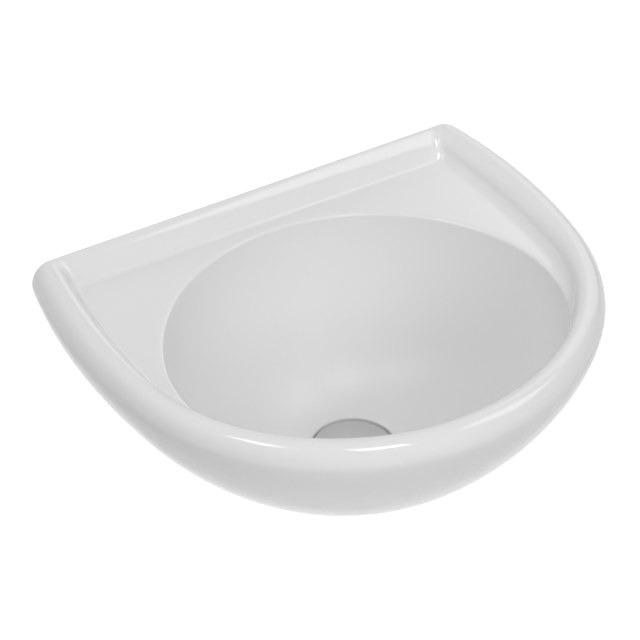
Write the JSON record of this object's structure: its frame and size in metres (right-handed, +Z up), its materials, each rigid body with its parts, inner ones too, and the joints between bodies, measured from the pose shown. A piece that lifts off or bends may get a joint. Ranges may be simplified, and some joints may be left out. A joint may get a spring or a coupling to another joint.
{
  "type": "wall-hung hand basin",
  "caption": "Small D-shaped wall-hung hand basin in white glazed ceramic, with a sunk deck inside a rounded lip, an oval bowl and a push-open waste.",
  "frame": {"origin": "on the wall face, midway between the two fixing studs", "axes": "+X to the right for someone facing the basin, +Y into the wall, +Z up"},
  "size_m": [0.4, 0.3865, 0.193],
  "materials": {
    "glazed_ceramic": "glossy white glaze",
    "satin_chrome": "satin chrome plate",
    "chromed_brass": "polished chrome plate",
    "turned_brass": "bare turned brass",
    "black_rubber": "matte",
    "white_acetal": "moulded",
    "white_nylon": "moulded",
    "spring_steel": "bright stainless wire",
    "zinc_steel": "zinc plate"
  },
  "bodies": {
    "fixed_basin": {"basin": "glazed_ceramic", "waste_body": "chromed_brass", "cartridge_housing": "turned_brass", "cartridge_locknut": "turned_brass", "plunger_spring": "spring_steel", "flange_seal": "black_rubber", "lower_gasket": "black_rubber", "slip_washer": "white_nylon", "backnut": "turned_brass", "hanger_bolts": "zinc_steel", "fixing_bushes": "white_nylon", "fixing_washers": "zinc_steel", "fixing_nuts": "zinc_steel"},
    "plug": {"plug_cap": "satin_chrome", "plug_seal": "black_rubber", "plunger": "white_acetal"},
    "click_ring": {"index_rotor": "white_acetal"}
  },
  "joints": [
    {"name": "plug_lift", "type": "slide", "parent": "fixed_basin", "child": "plug", "axis": [0, 0, 1], "range_m": [0, 0.008], "deforming": ["plunger_spring"]},
    {"name": "click_ring_turn", "type": "hinge", "parent": "plug", "child": "click_ring", "pos_m": [0, -0.159, -0.09], "axis": [0, 0, 1], "range_deg": [0, 45]}
  ],
  "couplings": [
    {"joint": "click_ring_turn", "follows": "plug_lift", "rad_per_m": 98.17}
  ]
}
